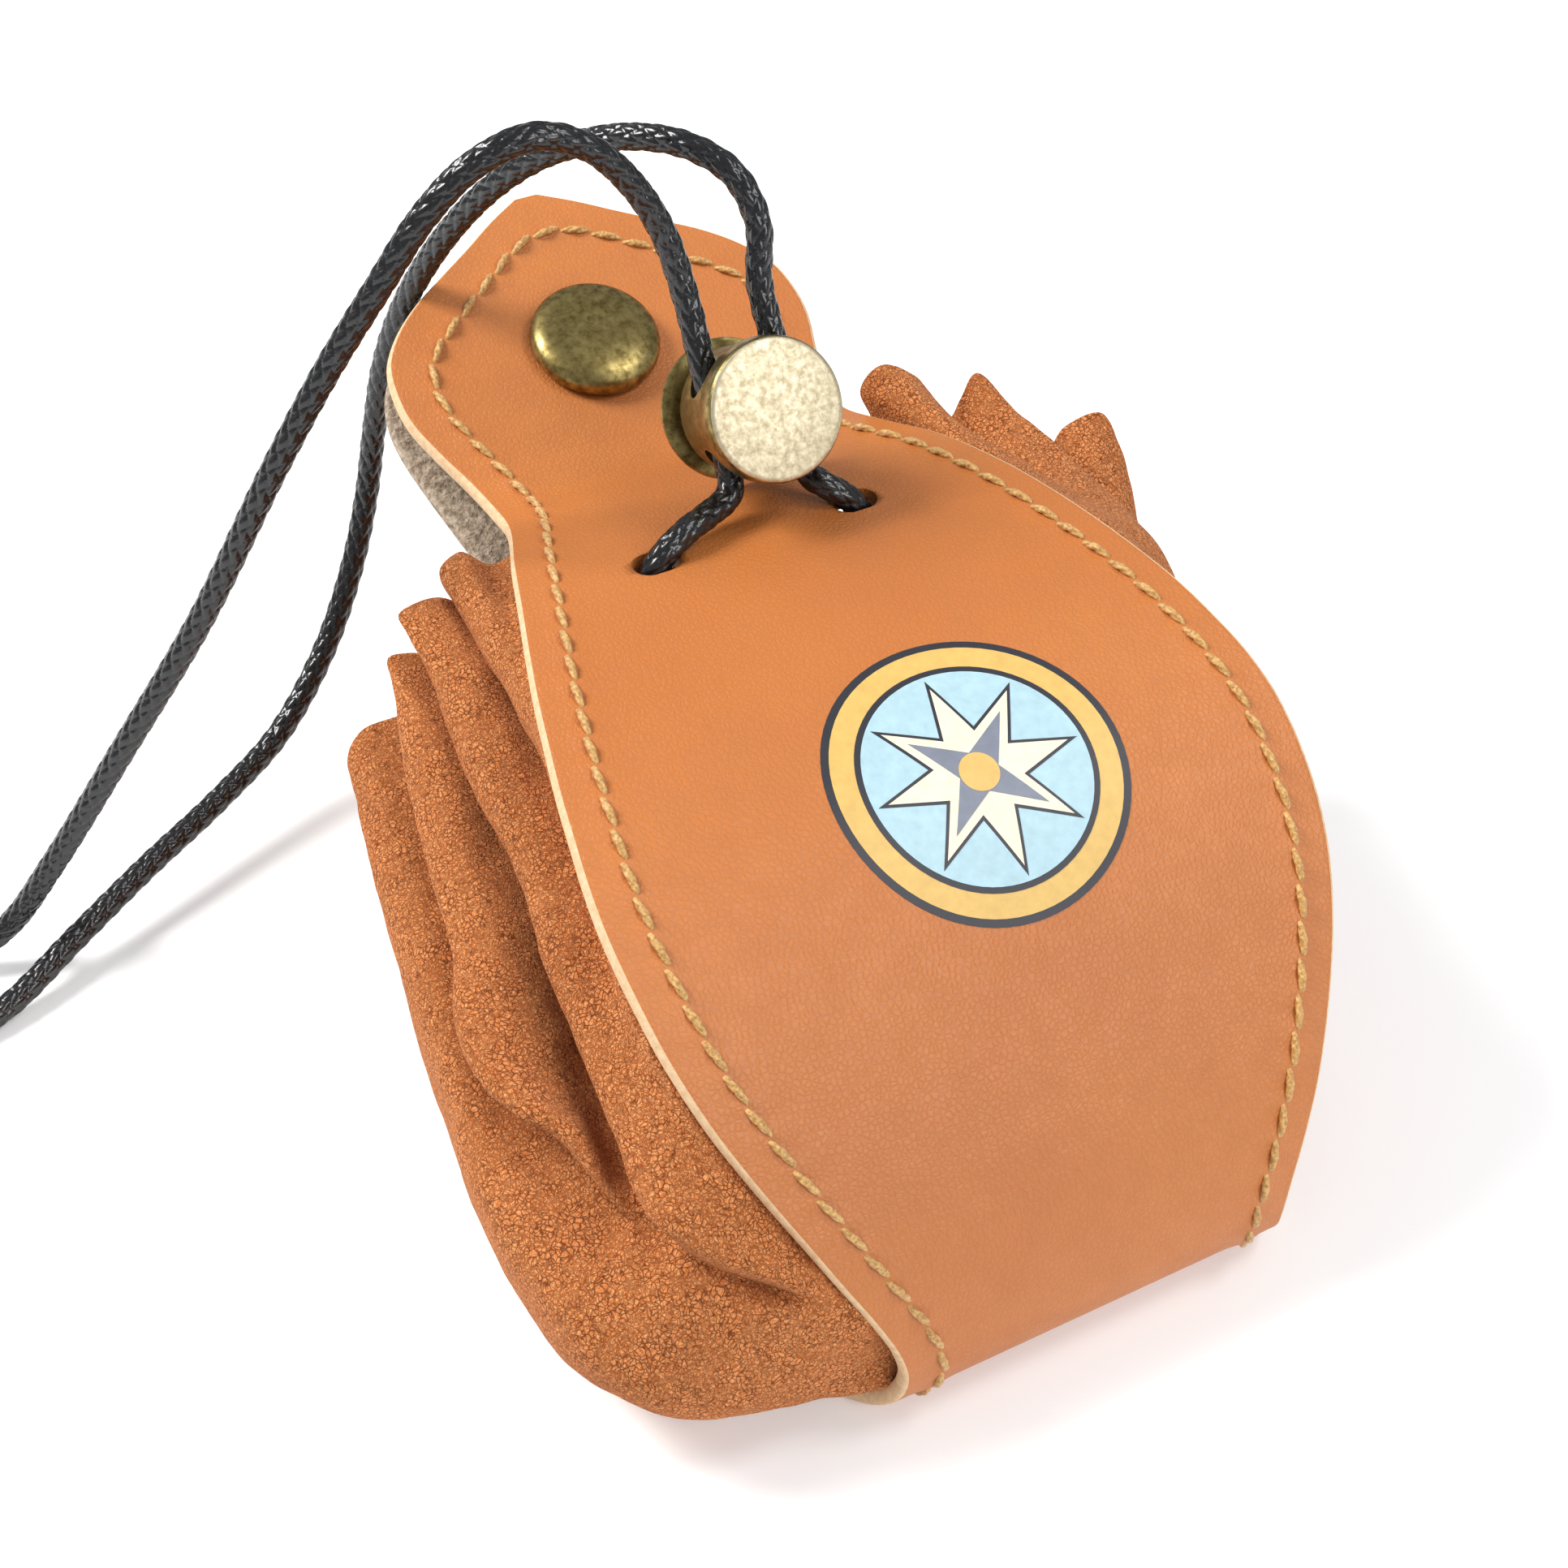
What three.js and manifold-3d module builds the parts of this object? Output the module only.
// Leather drawstring dice bag, lying on its back.
// Frame: +X across the bag, +Y from the closed bottom end towards the head, +Z up, millimetres.
import * as THREE from 'three';
import { mergeVertices } from 'three/addons/utils/BufferGeometryUtils.js';
import Module from 'manifold-3d';

// ---- driving dimensions -------------------------------------------------------------------
const LEATHER = 2.0;          // strap leather thickness
const SUEDE = 1.3;            // gusset suede thickness
const GAP = 0.35;             // clearance between pieces that touch
const CORD_D = 3.2;           // drawstring diameter
const THREAD_D = 0.7;         // sewing thread diameter
const SEAM_IN = 4.8;          // seam distance from the strap edge
const GROOVE = 1.05;          // depth of the seam groove under the back lobe
const CORD_HOLE_D = 4.4;      // width of the cord slots in the front lobe
const CORD_HOLE_REACH = 1.3;  // half the distance between a slot's round ends
const CORD_HOLE_Y = 77;       // their station along the bag
const CORD_HOLE_X = [-13.5, 11.0];
const SNAP_X = -1.2;          // snap axis meets the front head here
const SNAP_Y = 120.5;
const SNAP_CAP_D = 16.4;      // domed snap cap
const POST_D = 4.0;           // snap posts through the leather
const LOCK_D = 16.5;          // cord lock face
const LOCK_BARREL_D = 14.6;
const LOCK_FACE = [2.4, 78.5, 77.0];        // centre of the lock face
const LOCK_TILT = 29;         // degrees the lock face looks up from -Y
const LOCK_BORE_X = 4.6;      // cord bores either side of the lock axis
const PLUNGER_TRAVEL = 2.2;
const ORIGIN_Y = 38;          // the frame's origin lies under this station of the back lobe
const PLEATS = 4;             // folds of each gusset at the mouth
const PLEAT_DEPTH = 5.0;

// Right-hand edge of the strap on its grain face: [half width, y, z], head tip to back neck.
const HEAD_EDGE = [
  [2.0, 142.5, 73.6], [6.3, 140.3, 72.6], [10.9, 137.4, 71.4], [15.8, 134.6, 70.1],
  [20.4, 131.7, 68.9], [24.3, 128.5, 67.4], [26.9, 125.0, 65.8], [27.8, 121.0, 64.1],
  [27.7, 117.0, 62.3], [26.2, 112.0, 60.2], [24.6, 107.0, 58.6],
];
const LOBE_EDGE = [
  [24.0, 101.5, 58.2], [25.0, 94.5, 60.0], [28.6, 84.5, 62.2], [31.4, 76.0, 62.7],
  [33.7, 69.0, 62.3], [35.7, 62.5, 61.5], [37.5, 55.8, 60.5], [39.0, 49.8, 59.3],
  [40.1, 44.3, 57.8], [41.0, 39.3, 56.1], [41.5, 34.6, 54.0], [41.5, 30.4, 51.6],
  [41.2, 26.6, 49.0], [40.7, 23.2, 46.3], [39.8, 19.7, 43.2], [38.6, 16.6, 40.0],
  [37.0, 13.5, 36.6], [35.1, 10.5, 32.9], [32.8, 7.4, 28.6], [30.3, 4.5, 23.8],
  [27.6, 2.1, 18.6], [25.6, 0.7, 13.8], [24.8, 0.3, 9.8],
];
const BACK_EDGE = [
  [25.2, 1.2, 5.6], [26.5, 4.0, 1.9], [28.8, 8.5, 0.1], [31.0, 13.0, 0.0], [35.5, 20.0, 0.0],
  [39.0, 28.0, 0.0], [41.0, 38.0, 0.0], [41.3, 47.0, 0.0], [40.0, 55.5, 0.0], [37.5, 63.0, 0.0],
  [34.5, 70.0, 0.1], [32.3, 75.0, 1.6], [30.4, 79.4, 6.2], [28.6, 83.6, 13.6], [27.0, 87.6, 22.6],
  [25.6, 91.6, 31.6], [24.6, 95.2, 39.0], [24.1, 98.0, 44.5],
];
const FLAP_EDGE = [
  [24.05, 98.2, 44.9], [24.9, 100.3, 47.6], [26.2, 104.2, 49.8], [27.0, 109.2, 51.5],
  [27.8, 114.6, 53.4], [28.4, 120.0, 55.5], [28.2, 124.0, 57.3], [26.9, 127.8, 58.9],
  [24.3, 131.2, 60.4], [20.4, 134.4, 61.9], [15.8, 137.4, 63.2], [10.9, 140.4, 64.6],
  [6.3, 143.3, 65.8], [2.0, 145.5, 66.8],
];

// ---- small helpers -------------------------------------------------------------------------
const V = (x, y, z) => new THREE.Vector3(x, y, z);
const vec = (p) => new THREE.Vector3(...p);
const clamp = (v, a, b) => Math.min(b, Math.max(a, v));
const smooth = (a, b, v) => { const t = clamp((v - a) / (b - a), 0, 1); return t * t * (3 - 2 * t); };
const spline = (pts) => new THREE.CatmullRomCurve3(pts.map(vec), false, 'centripetal');

const root = new THREE.Group();
function add(name, geometry, color, roughness = 0.7, metalness = 0) {
  const material = new THREE.MeshStandardMaterial({ color, roughness, metalness });
  geometry.translate(0, -ORIGIN_Y, 0);
  geometry.computeVertexNormals();
  const mesh = new THREE.Mesh(geometry, material);
  mesh.name = name;
  root.add(mesh);
  return mesh;
}

function fromTriangles(points, tris) {
  const g = new THREE.BufferGeometry();
  let volume = 0;
  for (const [a, b, c] of tris) {
    volume += points[a].dot(V(0, 0, 0).crossVectors(points[b], points[c]));
  }
  const index = volume > 0 ? tris.flat() : tris.flatMap(([a, b, c]) => [a, c, b]);
  g.setAttribute('position', new THREE.Float32BufferAttribute(points.flatMap((p) => [p.x, p.y, p.z]), 3));
  g.setIndex(index);
  return g;
}

// Closed body between two equal grids of points, outer[i][j] and inner[i][j].
function slab(outer, inner) {
  const n = outer.length, m = outer[0].length;
  const points = [...outer.flat(), ...inner.flat()];
  const o = (i, j) => i * m + j, k = (i, j) => n * m + i * m + j;
  const tris = [];
  const quad = (a, b, c, d) => tris.push([a, b, c], [a, c, d]);
  for (let i = 0; i < n - 1; i++) {
    for (let j = 0; j < m - 1; j++) {
      quad(o(i, j), o(i + 1, j), o(i + 1, j + 1), o(i, j + 1));
      quad(k(i, j), k(i, j + 1), k(i + 1, j + 1), k(i + 1, j));
    }
    quad(o(i, 0), k(i, 0), k(i + 1, 0), o(i + 1, 0));
    quad(o(i, m - 1), o(i + 1, m - 1), k(i + 1, m - 1), k(i, m - 1));
  }
  for (let j = 0; j < m - 1; j++) {
    quad(o(0, j), o(0, j + 1), k(0, j + 1), k(0, j));
    quad(o(n - 1, j), k(n - 1, j), k(n - 1, j + 1), o(n - 1, j + 1));
  }
  return fromTriangles(points, tris);
}

const wasm = await Module();
wasm.setup();
function solid(geometry) {
  let g = geometry.clone();
  g.deleteAttribute('normal');
  g.deleteAttribute('uv');
  g = mergeVertices(g, 1e-4);
  return new wasm.Manifold(new wasm.Mesh({
    numProp: 3,
    vertProperties: new Float32Array(g.attributes.position.array),
    triVerts: new Uint32Array(g.index.array),
  }));
}
function toGeometry(manifold) {
  const mesh = manifold.getMesh();
  const g = new THREE.BufferGeometry();
  g.setAttribute('position', new THREE.Float32BufferAttribute(Array.from(mesh.vertProperties), 3));
  g.setIndex(Array.from(mesh.triVerts));
  return g;
}
function cut(geometry, tools) {
  let body = solid(geometry);
  for (const t of tools) body = body.subtract(solid(t));
  return toGeometry(body);
}

// Cylinder from a to b.
function rod(a, b, d, segments = 24) {
  const axis = b.clone().sub(a);
  const g = new THREE.CylinderGeometry(d / 2, d / 2, axis.length(), segments);
  g.applyQuaternion(new THREE.Quaternion().setFromUnitVectors(V(0, 1, 0), axis.clone().normalize()));
  g.translate(...a.clone().add(b).multiplyScalar(0.5).toArray());
  return g;
}
// Turned body: profile [radius, height] spun about the axis through `at`.
function turned(profile, at, axis, segments = 32) {
  const g = new THREE.LatheGeometry(profile.map(([r, h]) => new THREE.Vector2(r, h)), segments);
  g.applyQuaternion(new THREE.Quaternion().setFromUnitVectors(V(0, 1, 0), axis));
  g.translate(at.x, at.y, at.z);
  return mergeClosed(g);
}
function mergeClosed(geometry) {
  const g = geometry.clone();
  g.deleteAttribute('normal');
  g.deleteAttribute('uv');
  const m = mergeVertices(g, 1e-4);
  const keep = [];
  const idx = m.index.array;
  for (let i = 0; i < idx.length; i += 3) {
    const [a, b, c] = [idx[i], idx[i + 1], idx[i + 2]];
    if (a !== b && b !== c && a !== c) keep.push(a, b, c);
  }
  m.setIndex(outward(m.attributes.position, keep));
  return m;
}
// Triangle list turned so that its faces point out of the body.
function outward(position, idx) {
  const p = (i) => V(position.getX(i), position.getY(i), position.getZ(i));
  let volume = 0;
  for (let i = 0; i < idx.length; i += 3) {
    volume += p(idx[i]).dot(p(idx[i + 1]).cross(p(idx[i + 2])));
  }
  if (volume > 0) return idx;
  return idx.map((_, i) => idx[i - (i % 3) + [0, 2, 1][i % 3]]);
}
// Round cord or thread along a curve.
function tube(curve, d, steps, sides = 8) {
  const shape = new THREE.Shape();
  for (let i = 0; i < sides; i++) {
    const a = (2 * Math.PI * i) / sides;
    const [x, y] = [(d / 2) * Math.cos(a), (d / 2) * Math.sin(a)];
    if (i === 0) shape.moveTo(x, y); else shape.lineTo(x, y);
  }
  shape.closePath();
  return mergeClosed(new THREE.ExtrudeGeometry(shape, { steps, extrudePath: curve, bevelEnabled: false }));
}

// ---- strap ---------------------------------------------------------------------------------
// Station of a strap run: grain-side edge, outward normal in the YZ plane, half width.
function station(curve, u) {
  const p = curve.getPoint(u), t = curve.getTangent(u);
  const l = Math.hypot(t.y, t.z);
  return { h: p.x, y: p.y, z: p.z, ny: t.z / l, nz: -t.y / l };
}
// Points across the strap at one station, `depth` below the grain face.
function across(s, depth, groove) {
  const f = Math.min(1, s.h / 8);
  const at = (inset) => s.h - inset * f;
  const half = [[at(0), 0], [at(4.1), 0], [at(4.2), groove], [at(5.45), groove], [at(5.55), 0]];
  const xs = [...half, [0, 0], ...half.slice().reverse().map(([x, g]) => [-x, g])];
  return xs.map(([x, g]) => V(x, s.y - s.ny * (depth + g), s.z - s.nz * (depth + g)));
}
function strapRun(curve, us, grooveAt) {
  const st = us.map((u) => station(curve, u));
  return slab(
    st.map((s, i) => across(s, 0, grooveAt(us[i]))),
    st.map((s) => across(s, LEATHER, 0)),
  );
}
const strapPts = [...HEAD_EDGE, ...LOBE_EDGE, ...BACK_EDGE];
const strapCurve = spline(strapPts);
const flapCurve = spline(FLAP_EDGE);
const uOf = (k) => k / (strapPts.length - 1);
const U_NECK = uOf(HEAD_EDGE.length);
const U_FOLD = uOf(HEAD_EDGE.length + LOBE_EDGE.length - 1);
const fine = (a, b, n) => Array.from({ length: n + 1 }, (_, i) => a + ((b - a) * i) / n);
// Station of the front (head and lobe) at a given y.
function frontAt(y) {
  let a = 0, b = U_FOLD;
  for (let i = 0; i < 40; i++) {
    const m = (a + b) / 2;
    if (strapCurve.getPoint(m).y > y) a = m; else b = m;
  }
  return station(strapCurve, a);
}
const strapGroove = (u) => GROOVE * smooth(U_FOLD, U_FOLD + 0.03, u) * (1 - smooth(0.97, 0.99, u));
const strapUs = fine(0, 1, 72);
const snapS = frontAt(SNAP_Y);
const snapAxis = V(0, snapS.ny, snapS.nz).normalize();
const snapTop = V(SNAP_X, snapS.y, snapS.z);
const onSnap = (h) => snapTop.clone().addScaledVector(snapAxis, h);

const holeS = frontAt(CORD_HOLE_Y);
const atHole = (x, up) => V(x, holeS.y + holeS.ny * up, holeS.z + holeS.nz * up);
const holes = CORD_HOLE_X.flatMap((x) => [-1, 0, 1].map((k) => {
  const middle = x + k * CORD_HOLE_REACH;
  return rod(atHole(middle, -4), atHole(middle, 2), CORD_HOLE_D, 16);
}));
add('strap', cut(strapRun(strapCurve, strapUs, strapGroove), [
  ...holes, rod(onSnap(-5), onSnap(3), POST_D + 2 * GAP, 16),
]), 0xc07a3e);
add('back_flap', cut(strapRun(flapCurve, fine(0, 1, 24), () => 0), [
  rod(onSnap(-12), onSnap(-3.2), POST_D + 2 * GAP, 16),
]), 0xc07a3e);

// ---- seams ---------------------------------------------------------------------------------
const LIFT = THREAD_D / 2 + 0.15;
function seamPoint(s, x, lift = LIFT) {
  return V(x, s.y + s.ny * lift, s.z + s.nz * lift);
}
function seamAlong(side, u0, u1, steps, liftAt) {
  const pts = fine(u0, u1, steps).map((u) => {
    const s = station(strapCurve, u);
    return seamPoint(s, side * (s.h - SEAM_IN), liftAt(u));
  });
  return new THREE.CatmullRomCurve3(pts, false, 'centripetal');
}
const LINE = 0xd9a24a;
const grooveLift = (u) => LIFT - (strapGroove(u) / GROOVE) * (2 * LIFT + 0.16);
for (const [side, tag] of [[-1, 'left'], [1, 'right']]) {
  const front = seamAlong(side, U_NECK + 0.005, U_FOLD - 0.004, 30, () => LIFT);
  const back = seamAlong(side, U_FOLD + 0.034, 0.965, 24, grooveLift);
  add(`seam_front_${tag}`, tube(front, THREAD_D, 60, 6), LINE);
  add(`seam_back_${tag}`, tube(back, THREAD_D, 40, 6), LINE);
}
// Decorative seam round the front head: [x, y] on the grain face, left half first.
const HEAD_SEAM = [
  [-19.3, 101.3], [-19.7, 107.0], [-21.2, 112.0], [-22.6, 117.0], [-22.7, 120.5], [-21.6, 123.6],
  [-18.6, 126.6], [-14.0, 129.6], [-9.0, 133.0], [-4.0, 136.2], [0.0, 137.2],
];
const headLine = [...HEAD_SEAM, ...HEAD_SEAM.slice(0, -1).reverse().map(([x, y]) => [-x, y])];
add('seam_head_front', tube(new THREE.CatmullRomCurve3(
  headLine.map(([x, y]) => seamPoint(frontAt(y), x)), false, 'centripetal'), THREAD_D, 60, 6), LINE);
// Matching seam on the back flap, on its grain face underneath.
function flapAt(y) {
  let a = 0, b = 1;
  for (let i = 0; i < 40; i++) {
    const m = (a + b) / 2;
    if (flapCurve.getPoint(m).y < y) a = m; else b = m;
  }
  return station(flapCurve, a);
}
add('seam_head_back', tube(new THREE.CatmullRomCurve3(
  headLine.map(([x, y]) => seamPoint(flapAt(y + 2.9), x)), false, 'centripetal'), THREAD_D, 60, 6), LINE);

// ---- gussets -------------------------------------------------------------------------------
// Each section runs from under the front edge, out and round, to over the back edge.
const GUSSET_STATIONS = 20, GUSSET_COLS = 46;
const U_BACK_END = 0.985;
// How much of its full bulge each gusset has: the right one is folded in below the mouth.
const fullness = { left: () => 1, right: (k) => 1 - 0.85 * smooth(0.35, 0.78, k) };
function gussetSection(k, full) {                // k: 0 at the mouth, 1 at the fold
  const e = Math.pow(k, 0.85);
  const f = station(strapCurve, U_NECK + 0.012 + (U_FOLD - 0.012 - U_NECK - 0.012) * e);
  const b = station(strapCurve, U_BACK_END + (U_FOLD + 0.012 - U_BACK_END) * e);
  const D = Math.hypot(f.y - b.y, f.z - b.z);
  const open = 1 - smooth(0.0, 0.5, k);
  const wide = 1 - smooth(0.0, 0.55, k);
  const bulge = full * (21 * wide + 13.5 * (1 - wide) * (1 - smooth(0.72, 1.0, k))) + smooth(0.85, 1, k);
  const inset = LEATHER + GAP;
  const at = (s, x, d) => V(x, s.y - s.ny * (inset + d), s.z - s.nz * (inset + d));
  const xm = Math.max(f.h, b.h) * 0.5 + Math.min(f.h, b.h) * 0.5 + bulge;
  const mid = (t, dy, dz) => V(0, f.y + (b.y - f.y) * t - dy * open, f.z + (b.z - f.z) * t - dz * open);
  const p = [
    at(f, f.h - 6.5, 0), at(f, f.h - 1.2, 0.02 * D),
    at(f, f.h + 0.5 * bulge, Math.min(4, 0.10 * D)),
    mid(0.28, 3, 3).setX(xm - 0.08 * bulge), mid(0.5, 6, 12).setX(xm),
    mid(0.74, 9, 36).setX(xm - 0.12 * bulge),
    at(b, b.h + 0.5 * bulge, Math.min(3, 0.06 * D)),
    at(b, b.h - 1.2, 0.02 * D), at(b, b.h - 6.5, 0),
  ];
  return new THREE.CatmullRomCurve3(p, false, 'centripetal');
}
function gussetGrid(full) {
  const rows = fine(0, 1, GUSSET_STATIONS)
    .map((k) => gussetSection(k, full(k)).getSpacedPoints(GUSSET_COLS));
  return rows.map((r, i) => r.map((p, j) => {
    const k = i / GUSSET_STATIONS, t = j / GUSSET_COLS;
    const w = smooth(0.14, 0.26, t) * (1 - smooth(0.82, 0.94, t));
    const fade = 1 - smooth(0.0, 0.62, k);
    const wave = Math.cos(2 * Math.PI * (PLEATS * (t - 0.16) / 0.72));
    const tan = r[Math.min(GUSSET_COLS, j + 1)].clone().sub(r[Math.max(0, j - 1)]).normalize();
    const along = rows[Math.min(GUSSET_STATIONS, i + 1)][j].clone()
      .sub(rows[Math.max(0, i - 1)][j]).normalize();
    const n = tan.clone().cross(along).normalize();
    const centre = r[0].clone().add(r[GUSSET_COLS]).multiplyScalar(0.5);
    if (n.dot(p.clone().sub(centre)) < 0) n.negate();
    return p.clone().addScaledVector(n, -0.5 * PLEAT_DEPTH * fade * w * (1 + wave));
  }));
}
function gridNormal(g, i, j) {
  const n = g.length, m = g[0].length;
  const a = g[Math.min(n - 1, i + 1)][j].clone().sub(g[Math.max(0, i - 1)][j]);
  const b = g[i][Math.min(m - 1, j + 1)].clone().sub(g[i][Math.max(0, j - 1)]);
  return a.cross(b).normalize();
}
// The grid one suede thickness further in.
function lining(grid) {
  return grid.map((r, i) => r.map((p, j) => {
    const n = gridNormal(grid, i, j);
    const mid = r[0].clone().add(r[r.length - 1]).multiplyScalar(0.5);
    const out = p.clone().sub(mid);
    const s = Math.sign(n.dot(out.x > 2 ? V(1, 0, 0).lerp(out.clone().normalize(), 0.7) : out)) || 1;
    return p.clone().addScaledVector(n, -s * SUEDE);
  }));
}
const mirror = (g, s) => g.map((r) => r.map((p) => V(s * p.x, p.y, p.z)));
for (const [side, tag] of [[-1, 'left'], [1, 'right']]) {
  const grid = gussetGrid(fullness[tag]);
  add(`gusset_${tag}`, slab(mirror(grid, side), mirror(lining(grid), side)), 0xa8522a, 0.95);
}

// ---- snap fastener -------------------------------------------------------------------------
const BRASS = 0x8a7434;
const frontIn = -LEATHER, backIn = frontIn - 3.4, backOut = backIn - LEATHER;
add('snap_cap', turned([
  [0, frontIn - 0.2], [POST_D / 2, frontIn - 0.2], [POST_D / 2, GAP], [SNAP_CAP_D / 2 - 0.5, GAP],
  [SNAP_CAP_D / 2, GAP + 0.6], [SNAP_CAP_D / 2 - 0.3, 1.8], [SNAP_CAP_D / 2 - 1.5, 2.8],
  [4.0, 3.4], [0, 3.6],
], snapTop, snapAxis, 36), BRASS, 0.4, 1);
add('snap_socket', turned([
  [0, frontIn - 0.55], [0, frontIn - 1.2], [3.5, frontIn - 1.2], [3.5, frontIn - 2.3],
  [5.4, frontIn - 2.3], [6.0, frontIn - 1.9], [6.0, frontIn - GAP], [2.4, frontIn - GAP],
  [2.4, frontIn - 0.55],
  [0, frontIn - 0.55],
], snapTop, snapAxis, 28), BRASS, 0.4, 1);
add('snap_stud', turned([
  [0, frontIn - 1.55], [2.5, frontIn - 1.55], [2.9, frontIn - 2.0], [2.6, frontIn - 2.5],
  [2.9, backIn + 0.75],
  [5.6, backIn + 0.6], [5.6, backIn + 0.3], [2.6, backIn + 0.3], [2.6, backIn + 0.55], [0, backIn + 0.55],
  [0, frontIn - 1.55],
], snapTop, snapAxis, 28), BRASS, 0.4, 1);
add('snap_rivet', turned([
  [0, backIn + 0.25], [POST_D / 2, backIn + 0.25], [POST_D / 2, backOut - GAP], [5.4, backOut - GAP],
  [5.6, backOut - 0.9], [5.0, backOut - 1.3], [0, backOut - 1.5], [0, backIn + 0.25],
], snapTop, snapAxis, 28), BRASS, 0.4, 1);

// ---- cord lock -----------------------------------------------------------------------------
const tilt = THREE.MathUtils.degToRad(LOCK_TILT);
const lockAxis = V(0, -Math.cos(tilt), Math.sin(tilt));     // out of the face
const cordDir = V(0, Math.sin(tilt), Math.cos(tilt));       // cords run through the lock this way
const lockFace = vec(LOCK_FACE);
const onLock = (h) => lockFace.clone().addScaledVector(lockAxis, -h);
const BORE_H = 7.3;                                         // bores sit this far behind the face
const bore = (x, d, from, to) => {
  const c = onLock(BORE_H).add(V(x, 0, 0));
  return rod(c.clone().addScaledVector(cordDir, from), c.clone().addScaledVector(cordDir, to), d, 16);
};
const BORES = [-LOCK_BORE_X, LOCK_BORE_X];
const R = LOCK_D / 2, RB = LOCK_BARREL_D / 2, RI = 6.0;
const LOCK_CAP = 2.4, STEM_TOP = 5.9;                      // closed end and plunger stem, behind the face
const turnedLock = (profile) => turned(profile.map(([r, h]) => [r, -h]), lockFace, lockAxis, 40);
add('lock_housing', cut(turnedLock([
  [0, 0], [R - 0.5, 0], [R, 0.5], [R, 3.1], [RB, 3.3], [RB, 11.2], [RI + 0.5, 11.2], [RI + 0.5, LOCK_CAP],
  [0, LOCK_CAP], [0, 0],
]), BORES.map((x) => bore(x, 4.1, -12, 12))), 0x9c8752, 0.35, 1);
const slot = (x) => [0, 0.5, 1].map((f) => bore(x, 4.1, -12, 12)
  .translate(...lockAxis.clone().multiplyScalar(-f * PLUNGER_TRAVEL).toArray()));
add('lock_plunger', cut(turnedLock([
  [0, 14.9], [R - 0.4, 14.9], [R, 14.5], [R, 14.1], [RI, 13.9], [RI, STEM_TOP], [0, STEM_TOP],
  [0, 14.9],
]), BORES.flatMap(slot)), 0x6f5a2c, 0.4, 1);

// Compression spring between the plunger and the closed end of the housing.
const SPRING_R = 2.6, SPRING_TURNS = 2.5, SPRING_WIRE = 0.33;
class Coil extends THREE.Curve {
  getPoint(t) {
    const a = 2 * Math.PI * SPRING_TURNS * t;
    const side = V(0, 1, 0).cross(lockAxis).normalize();
    const up = lockAxis.clone().cross(side);
    return onLock(LOCK_CAP + 0.35 + SPRING_WIRE / 2 + (STEM_TOP - LOCK_CAP - 0.7 - SPRING_WIRE) * t)
      .addScaledVector(side, SPRING_R * Math.cos(a)).addScaledVector(up, SPRING_R * Math.sin(a));
  }
}
add('lock_spring', tube(new Coil(), SPRING_WIRE, 42, 6), 0xb0b0b0, 0.3, 1);

// ---- drawstring ----------------------------------------------------------------------------
const BLACK = 0x111111;
const lockCentre = (x) => onLock(BORE_H).add(V(x, 0, 0));
const through = (x) => [-7.2, 0, 7.2, 13.5].map((s) => lockCentre(x).addScaledVector(cordDir, s).toArray());
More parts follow.
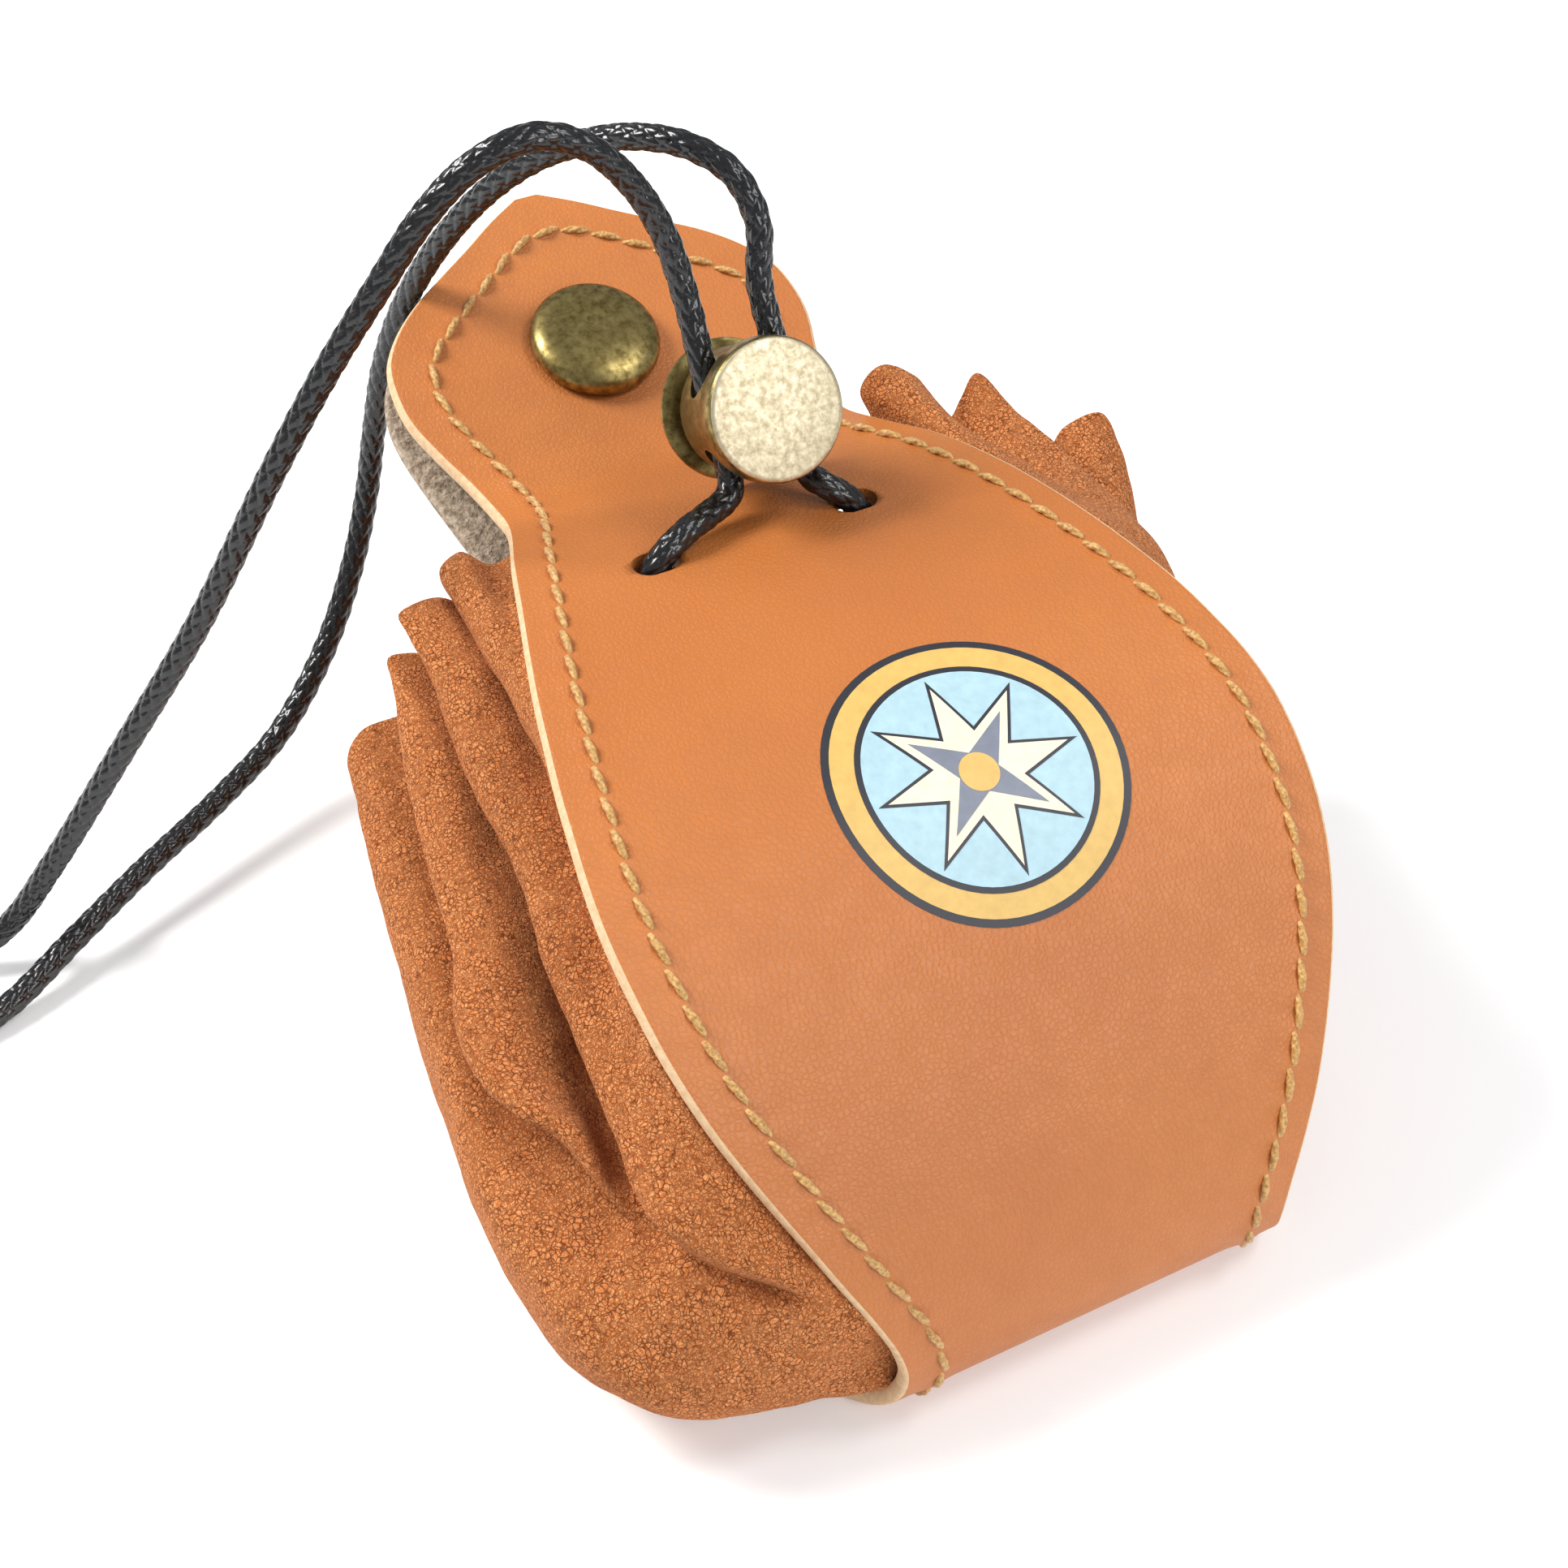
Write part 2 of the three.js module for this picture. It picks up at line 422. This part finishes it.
// Point by cord slot i: across, along and above the middle of the slot.
const byHole = (i, dx, dy, up) => atHole(CORD_HOLE_X[i] + dx, up).add(V(0, dy, 0)).toArray();
const LEFT_TAIL = [
  byHole(0, -2.8, -0.3, -4.2), byHole(0, 0, 0, 0.2), byHole(0, 3.6, 0.9, 2.1), [-5.9, 79.4, 65.2],
  [-3.1, 80.4, 65.9], ...through(-LOCK_BORE_X),
  [-3.4, 94.0, 92.5], [-6.5, 95.2, 99.0], [-11.5, 95.8, 104.6], [-17.5, 96.2, 107.0], [-24.0, 97.0, 105.0],
  [-29.5, 98.0, 100.2], [-35.5, 99.5, 91.8], [-41.5, 101.5, 82.5], [-48.5, 103.5, 70.6],
  [-59.0, 107.0, 50.8],
  [-70.5, 110.6, 32.6], [-81.5, 114.2, 15.4], [-88.0, 116.2, 6.6], [-95.0, 117.4, 2.2],
  [-102.0, 116.0, 1.8],
  [-107.5, 111.8, 2.4], [-109.6, 109.4, 3.0],
];
const RIGHT_TAIL = [
  byHole(1, 2.4, -0.8, -4.2), byHole(1, 0, 0, 0.3), byHole(1, -2.6, 1.2, 2.4), [7.3, 79.9, 65.9],
  ...through(LOCK_BORE_X),
  [8.0, 93.6, 91.5], [6.6, 96.6, 96.4], [3.4, 101.0, 98.6], [-1.0, 107.0, 98.2], [-6.4, 115.0, 94.4],
  [-9.8, 120.0, 90.4], [-13.4, 125.4, 84.4], [-17.2, 131.0, 76.0], [-20.4, 136.0, 66.4],
  [-22.6, 139.6, 56.6],
  [-24.4, 141.2, 46.4], [-26.8, 140.4, 37.4], [-30.8, 138.0, 28.6], [-37.2, 134.4, 19.4],
  [-46.4, 129.6, 11.8],
  [-57.2, 124.2, 8.6], [-69.4, 118.2, 6.6], [-81.0, 112.2, 4.4], [-92.0, 106.6, 2.2], [-100.0, 104.6, 1.8],
  [-107.0, 105.4, 2.4], [-109.4, 106.2, 3.0],
];
const INNER_LOOP = [
  byHole(0, -3.5, -0.4, -5.4), [-19.2, 77.4, 53.6], [-21.6, 78.6, 48.6], [-23.0, 79.6, 43.0],
  [-22.8, 79.6, 34.0], [-17.5, 79.0, 26.0], [-9.0, 78.0, 21.5], [0.0, 77.6, 20.5], [9.0, 78.0, 21.5],
  [17.5, 79.0, 26.0], [22.8, 79.6, 34.0], [22.8, 79.6, 42.5], [19.6, 78.4, 48.8], [16.2, 77.0, 53.8],
  byHole(1, 3.1, -1.0, -5.4),
];
add('cord_left', tube(spline(LEFT_TAIL), CORD_D, 78, 8), BLACK, 0.4);
add('cord_right', tube(spline(RIGHT_TAIL), CORD_D, 78, 8), BLACK, 0.4);
add('cord_inner', tube(spline(INNER_LOOP), CORD_D, 48, 8), BLACK, 0.4);
const knot = new THREE.SphereGeometry(1, 18, 12);
knot.scale(4.6, 3.9, 3.6);
knot.translate(-114.9, 107.8, 3.65);
add('end_knot', mergeClosed(knot), BLACK, 0.4);

export default root;
